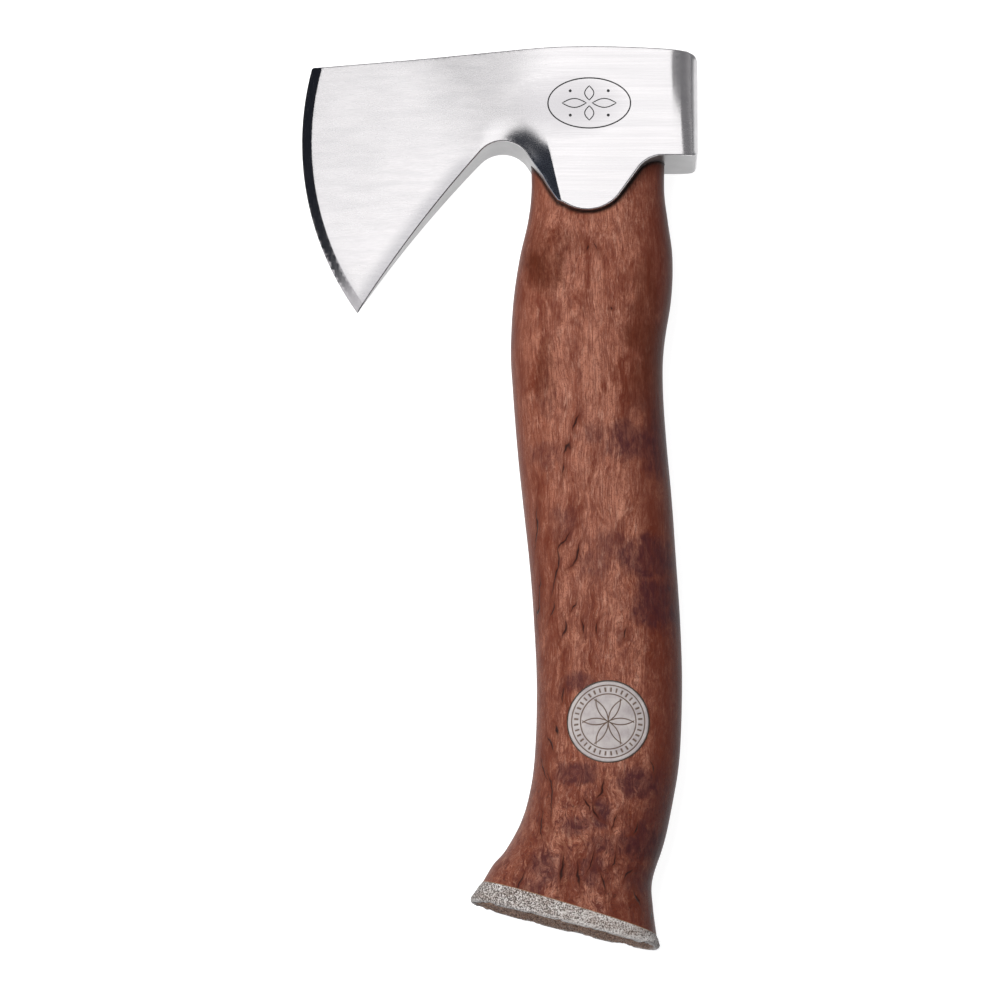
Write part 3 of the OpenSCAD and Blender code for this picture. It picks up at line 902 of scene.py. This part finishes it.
def ornament_tools(material):
    """An oval line round a flower of four petals, with a dot between each two."""
    cx, cy = ORNAMENT_CENTRE
    width, depth = 0.36, 0.25
    tools = [groove_tool(ring_points(ORNAMENT_CENTRE, 11.3, 7.0, 90), width, depth, material)]
    root, half_width, steps = 0.8, 1.25, 12
    for k in range(4):
        t = math.pi / 2 * k
        reach = (7.4, 4.8)[k % 2]
        upper = [(lerp(root, reach, i / steps), half_width * math.sin(math.pi * i / steps))
                 for i in range(steps + 1)]
        petal = upper + [(x, -y) for x, y in upper[-2:0:-1]]
        turned = [(cx + x * math.cos(t) - y * math.sin(t), cy + x * math.sin(t) + y * math.cos(t))
                  for x, y in petal]
        tools.append(groove_tool(turned, 0.8 * width, depth, material))
    for sx in (-1, 1):
        for sy in (-1, 1):
            dot = ring_points((cx + sx * 5.2, cy + sy * 3.4), 0.42, 0.42, 16)
            tools.append(prism("dot_tool", dot, HALF - depth, HALF + 1, material))
    return tools


def make_head():
    etched = speckled_material("etched_line", 1.6, (0.012, 0.012, 0.014), (0.06, 0.06, 0.06),
                               (0.3, 0.5), (0.3, 0.00003), 0.2)
    # the darker copies of the steel for the narrow sides and the poll's edge are painted shade
    head = head_mesh([steel_material(), bevel_steel_material(),
                      painted_shade_steel("side_shade_steel", 0.19, 0.38),
                      painted_shade_steel("poll_shade_steel", 0.50, 0.66), etched])
    choose_finishes(head)
    cut(head, [prism("eye_tool", oval(*EYE, 120), -40, 30, place=lambda x, z, y: at(x, y, z))])
    cut(head, ornament_tools(etched))
    shade(head)
    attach(head, "root")
    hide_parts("head")


# ---- Handle ----

# x, y, half width, half thickness, slope in degrees, squareness
STATIONS = [
    (0, TENON_TOP, *TENON, 0, 2.4), (0, 0, *TENON, 0, 2.4), (0, -14, *TENON, 0, 2.4),
    (0, -23, *TENON, 0, 2.4), (0, -31, 19.3, GRIP - 2.2, 0, 2.35), (-0.5, -41, 21.2, GRIP - 0.8, 0, 2.3),
    (-1.5, -52, 21.8, GRIP - 0.2, 0, 2.2), (-3, -66, 21.1, GRIP, 0, 2.2), (-2.9, -77, 20.7, GRIP, 0, 2.2),
    (-1.8, -92, 20.6, GRIP, 0, 2.2), (-0.4, -107, 20.5, GRIP, 0, 2.2), (0.9, -122, 20.3, GRIP, 0, 2.2),
    (2.2, -140, 20.1, GRIP, 0, 2.2), (2.9, -158, 19.9, GRIP, 0.5, 2.2), (2.4, -177, 19.8, GRIP, 3, 2.2),
    (0.8, -189, 19.5, GRIP - 0.1, 6, 2.2), (-1.6, -199, 19.7, GRIP - 0.3, 9, 2.2),
    (-5.4, -208.2, 20.4, GRIP - 0.3, 12, 2.25), (-7.1, -213.9, 22.5, GRIP, BUTT_SLOPE - 2, 2.35),
    (*BUTT, *BUTT_HALF, BUTT_SLOPE, BUTT_SQUARENESS)]


def spline(a, b, c, d, t):
    return (2 * b + (c - a) * t + (2 * a - 5 * b + 4 * c - d) * t ** 2 + (3 * b - a - 3 * c + d) * t ** 3) / 2


def smooth_stations(steps):
    last = len(STATIONS) - 1
    out = []
    for i in range(last):
        four = [STATIONS[max(i - 1, 0)], STATIONS[i], STATIONS[i + 1], STATIONS[min(i + 2, last)]]
        out += [[spline(*column, k / steps) for column in zip(*four)] for k in range(steps)]
    return out + [list(STATIONS[last])]


def carved(x, y, z):
    """Slight hand-carved waviness of the grip, always inwards, in millimetres."""
    free = smoothstep(-28, -44, y) * smoothstep(-226, -205, y)
    soft = noise.noise(Vector((x * 0.05, y * 0.035, z * 0.05 + 3)))
    fibre = noise.noise(Vector((x * 0.9, y * 0.06, z * 0.9 + 8)))
    return free * (0.16 + 0.16 * soft + 0.03 * fibre)


def handle_mesh(material):
    sides = 224
    stations = smooth_stations(16)
    vertices, across = [], []
    for cx, cy, a, b, slope, squareness in stations:
        t = math.radians(slope)
        for u, w in oval(a, b, squareness, sides):
            x, y = cx + u * math.cos(t), cy - u * math.sin(t)
            k = 1 - carved(x, y, w) / math.hypot(u, w)
            vertices.append(at(cx + u * k * math.cos(t), cy - u * k * math.sin(t), w * k))
            across.append(u / a)
    handle = closed_object("handle_birch", vertices, tube_faces(len(stations), sides), material)
    set_attribute(handle, "across", across)
    return handle


def copy_of_node(name):
    """A closed copy of a CAD node's mesh, to cut with."""
    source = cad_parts[name]
    made = new_object(name + "_tool", source.data.copy())
    made.matrix_world = source.matrix_world.copy()
    with edited(made.data) as bm:
        bmesh.ops.remove_doubles(bm, verts=bm.verts, dist=1e-7)
    face_out(made)
    return made


def make_handle(birch):
    """Makes the handle and returns its uncut surface, on which the disc lies."""
    handle = handle_mesh(birch)
    # painted shadow on the wood just beside the head's outline
    head_shadow = [smoothstep(1.0, 0.35, gap) for _, gap in gaps_from(head_outline(), handle)]
    set_attribute(handle, "head_shadow", head_shadow)
    skin = BVHTree.FromObject(handle, bpy.context.evaluated_depsgraph_get())
    radius = DISC_RADIUS + GLUE_GAP
    pocket = prism("pocket_tool", ring_points(DISC_CENTRE, radius, radius, 128),
                   GRIP - DISC_DEPTH - GLUE_GAP, 20)
    cut(handle, [pocket, copy_of_node("eye_wedge"), copy_of_node("steel_wedge")])
    shade(handle)
    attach(handle, "root")
    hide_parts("handle")
    return skin


# ---- Inlaid disc ----

def rosette_mark(r, angle):
    """The engraving's depth at a point of the disc, from 0 to 1: rings, ticks and a six-petal rosette."""
    mark = 0.0
    for ring in (9.9, 7.5):
        mark = max(mark, smoothstep(0.20, 0.08, abs(r - ring)))
    if 8.1 < r < 9.3:
        turn = (angle / (2 * math.pi) * 36) % 1
        mark = max(mark, smoothstep(0.30, 0.15, abs(turn - 0.5) * 2 * math.pi * r / 36))
    x, y = r * math.cos(angle), r * math.sin(angle)
    if r < 7.0:
        petal = 6.6
        for k in range(6):
            t = math.pi / 3 * k
            d = abs(math.dist((x, y), (petal * math.cos(t), petal * math.sin(t))) - petal)
            mark = max(mark, smoothstep(0.20, 0.08, d))
    return mark


def make_disc(skin):
    """The disc's face follows the handle's surface; its side stands on the pocket's floor."""
    sectors, rings = 300, 74
    engraved = 0.12
    edge = 0.25
    start = at(0, 0, 60).z

    def skin_point(x, y, sink):
        origin = at(x, y, 0)
        hit, *_ = skin.ray_cast(Vector((origin.x, origin.y, start)), Vector((0, 0, -1)))
        return Vector((origin.x, origin.y, hit.z - sink * MM))

    vertices = [skin_point(*DISC_CENTRE, 0.0)]
    marks = [rosette_mark(0, 0)]
    for i in range(1, rings + 1):
        r = DISC_RADIUS * i / rings
        rolled = edge * (1 - math.sqrt(1 - clamp((r - DISC_RADIUS + edge) / edge) ** 2))
        for j in range(sectors):
            t = 2 * math.pi * j / sectors
            mark = rosette_mark(r, t)
            x, y = DISC_CENTRE[0] + r * math.cos(t), DISC_CENTRE[1] + r * math.sin(t)
            vertices.append(skin_point(x, y, engraved * mark + rolled))
            marks.append(mark)
    floor = at(0, 0, GRIP - DISC_DEPTH).z
    foot = len(vertices)
    vertices += [Vector((v.x, v.y, floor)) for v in vertices[-sectors:]]
    marks += [0.0] * sectors
    faces = [[0, 1 + j, 1 + (j + 1) % sectors] for j in range(sectors)]
    for i in range(rings):
        for j in range(sectors):
            a, b = 1 + i * sectors + j, 1 + i * sectors + (j + 1) % sectors
            faces.append([a, a + sectors, b + sectors, b])
    faces.append([foot + j for j in range(sectors)])
    disc = closed_object("inlay_disc_antler", vertices, faces, disc_material())
    set_attribute(disc, "mark", marks)
    shade(disc, 50)
    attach(disc, "root")
    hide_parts("inlay_disc")


# ---- Butt cap ----

CAP_TOP = 0.2
CAP_RIM = 3.8
CAP_FOOT = 5.1
CHAMFER = 1.1


def cap_rows():
    """Rings of the cap: depth, half width, half thickness, slope, bark, distance in from the chamfer."""
    rim_slope = BUTT_SLOPE - 2.7
    bark_rows, chamfer_rows, core_rows = 10, 4, 46
    rows = []
    for k in range(bark_rows):
        t = k / (bark_rows - 1)
        rows.append((lerp(CAP_TOP, CAP_RIM, t), lerp(BUTT_HALF[0], CAP_WIDTH, t ** 0.8),
                     lerp(BUTT_HALF[1], HALF, t), lerp(BUTT_SLOPE, rim_slope, t), 1.0, 0.0))
    for k in range(1, chamfer_rows + 1):
        t = k / chamfer_rows
        depth = CAP_RIM + (CAP_FOOT - CAP_RIM) * math.sin(t * math.pi / 2)
        back = CHAMFER * (1 - math.cos(t * math.pi / 2))
        rows.append((depth, CAP_WIDTH - back, HALF - back, rim_slope, 1 - t, 0.0))
    for k in range(1, core_rows):
        t = k / core_rows
        rows.append((CAP_FOOT, (CAP_WIDTH - CHAMFER) * (1 - t), (HALF - CHAMFER) * (1 - t), rim_slope, 0.0,
                     t * (CAP_WIDTH - CHAMFER)))
    return rows


def make_cap():
    """Antler slice: granular bark round the side, a smooth chamfer, and a porous core below."""
    slope = math.radians(BUTT_SLOPE)
    down = Vector((-math.sin(slope), -math.cos(slope)))
    sides = 360
    vertices, rim_of, core_of = [], [], []
    rows = cap_rows()
    for depth, a, b, degrees, bark, inward in rows:
        c = Vector(BUTT) + down * depth
        t = math.radians(degrees)
        for u, w in oval(a, b, BUTT_SQUARENESS, sides, 0.5):
            x, y = c.x + u * math.cos(t), c.y - u * math.sin(t)
            grit = noise.noise(Vector((x, y, w)) * 1.1)
            fine = noise.noise(Vector((x, y, w)) * 3.1 + Vector((7, 0, 0)))
            ragged = noise.noise(Vector((x, w, 4)) * 0.30)
            core = smoothstep(0.2, 0.9, inward + 0.5 * ragged) if inward > 0 else 0.0
            torn = noise.noise(Vector((x, w, 2)) * 0.16) + 0.5 * noise.noise(Vector((x, w, 5)) * 0.9)
            torn = 0.9 * max(0.0, torn) * smoothstep(4.3, CAP_FOOT, depth)
            pits = max(0.0, noise.noise(Vector((x, w, 9)) * 1.7) + 0.1)
            sunk = max(0.0, core * (0.25 + 1.1 * pits + 0.25 * fine) + torn)
            shrink = bark * smoothstep(0.2, 1.0, depth) * (0.16 + 0.22 * grit + 0.12 * fine)
            k = 1 - max(0.0, shrink) / max(1.0, math.hypot(u, w))
            x, y = c.x + u * k * math.cos(t), c.y - u * k * math.sin(t)
            vertices.append(at(x + sunk * math.sin(t), y + sunk * math.cos(t), w * k))
            rim_of.append(1 - bark)
            core_of.append(clamp(core))
    cap = closed_object("butt_cap_antler", vertices, tube_faces(len(rows), sides), cap_material())
    set_attribute(cap, "rim", rim_of)
    set_attribute(cap, "core", core_of)
    shade(cap, 50)
    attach(cap, "root")
    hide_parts("butt_cap")


# ---- Carried-over CAD nodes ----

def dress(node, material):
    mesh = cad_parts[node].data
    mesh.materials.clear()
    mesh.materials.append(material)


# ---- Stage, light and camera ----

def make_floor():
    size = 4.0
    n = Nodes("floor")
    paper = n.noise((3, 3, 3), 2)
    colour = n.mix(paper, (0.34, 0.34, 0.34), (0.37, 0.37, 0.37))
    n.surface(colour, 0.9, Emission_Color=(1, 1, 1), Emission_Strength=0.92)
    corners = [(x * size, y * size, cad_low.z) for x, y in ((-1, -1), (1, -1), (1, 1), (-1, 1))]
    floor = mesh_object("floor", corners, [[0, 1, 2, 3]], n.material)
    floor.visible_diffuse = False


def area_light(name, place, aim, size, power, colour=(1, 1, 1), glossy=True):
    light = bpy.data.lights.new(name, "AREA")
    light.shape = "RECTANGLE"
    light.size, light.size_y = size
    light.energy = power
    light.color = colour
    obj = new_object(name, light)
    obj.location = place
    obj.rotation_mode = "QUATERNION"
    obj.rotation_quaternion = (Vector(aim) - Vector(place)).to_track_quat("-Z", "Y")
    obj.visible_glossy = glossy
    return obj


def power(radiance, size):
    """Watts that give an area light a radiance."""
    return radiance * math.pi * size[0] * size[1]


def make_lights():
    """A softbox overhead that the steel mirrors, a fill that only lights, and dim cards round the object."""
    head = at(0, 0, 0)
    centre = (cad_low + cad_high) / 2
    height = 1.6
    left, right, near, far = -0.905, 0.46, -0.50, 1.10
    slant = math.radians(-9.6)
    middle = head + Vector(((left + right) / 2, (near + far) / 2, height))
    size = (right - left, far - near)
    softbox = area_light("softbox", middle, middle - Vector((0, 0, 1)), size, power(1.24, size))
    softbox.rotation_quaternion = Matrix.Rotation(slant, 4, "Z").to_quaternion()
    area_light("fill", centre + Vector((-0.55, 0.15, 1.5)), centre, (0.8, 0.8), 28, glossy=False)
    tilt = math.radians(46)
    size, away = (2.2, 2.4), 2.0
    aside = head + Vector((away * math.sin(tilt), 0.3, away * math.cos(tilt)))
    card = area_light("side_card", aside, head, size, power(0.17, size), (1.0, 0.97, 0.96))
    card.visible_diffuse = False
    size, away, rise = (5.4, 1.1), 2.6, 0.68
    for name, azimuth, radiance in (("left_card", 180, 0.42), ("near_card", -90, 0.40),
                                    ("far_card", 90, 0.40), ("right_card", 0, 0.13)):
        turn = math.radians(azimuth)
        place = centre + Vector((away * math.cos(turn), away * math.sin(turn), rise))
        area_light(name, place, centre, size, power(radiance, size))
    world = bpy.data.worlds.new("studio")
    bpy.context.scene.world = world
    world.use_nodes = True
    world.node_tree.nodes["Background"].inputs[0].default_value = (0.022, 0.026, 0.036, 1)


def make_camera():
    """Looks down on the upper cheek, tilted a little towards the butt, from two metres off."""
    azimuth, elevation, roll = (math.radians(angle) for angle in (2.2, 80.8, -2.2))
    distance, lens = 2.0, 263.7
    target = at(-26.85, -107.95)
    back = Vector((math.sin(azimuth) * math.cos(elevation), -math.cos(azimuth) * math.cos(elevation),
                   math.sin(elevation)))
    camera = new_object("camera", bpy.data.cameras.new("camera"))
    camera.data.lens = lens
    camera.data.sensor_width = 36
    camera.rotation_mode = "QUATERNION"
    camera.location = target + back * distance
    turned = Matrix.Rotation(roll, 4, "Z").to_quaternion()
    camera.rotation_quaternion = (-back).to_track_quat("-Z", "Y") @ turned
    bpy.context.scene.camera = camera


make_camera()
make_floor()
make_lights()
birch = birch_material()
make_head()
skin = make_handle(birch)
make_disc(skin)
make_cap()
dress("eye_wedge", wedge_wood_material())
dress("steel_wedge", speckled_material("wedge_steel", 0.5, (0.18, 0.17, 0.17), (0.42, 0.42, 0.43),
                                       (0.3, 0.35), (0.4, 0.0001), 0.9, 5, 0.7))
dress("disc_glue", speckled_material("dark_glue", 0.7, (0.025, 0.014, 0.009), (0.07, 0.04, 0.025),
                                     (0.2, 0.35), (0.2, 0.00005)))
dress("cap_glue", speckled_material("cap_joint", 0.5, (0.16, 0.075, 0.04), (0.3, 0.16, 0.085),
                                    (0.2, 0.45), (0.2, 0.00005)))
dress("butt_dowels", wedge_wood_material())
bpy.context.scene.view_settings.view_transform = "Standard"
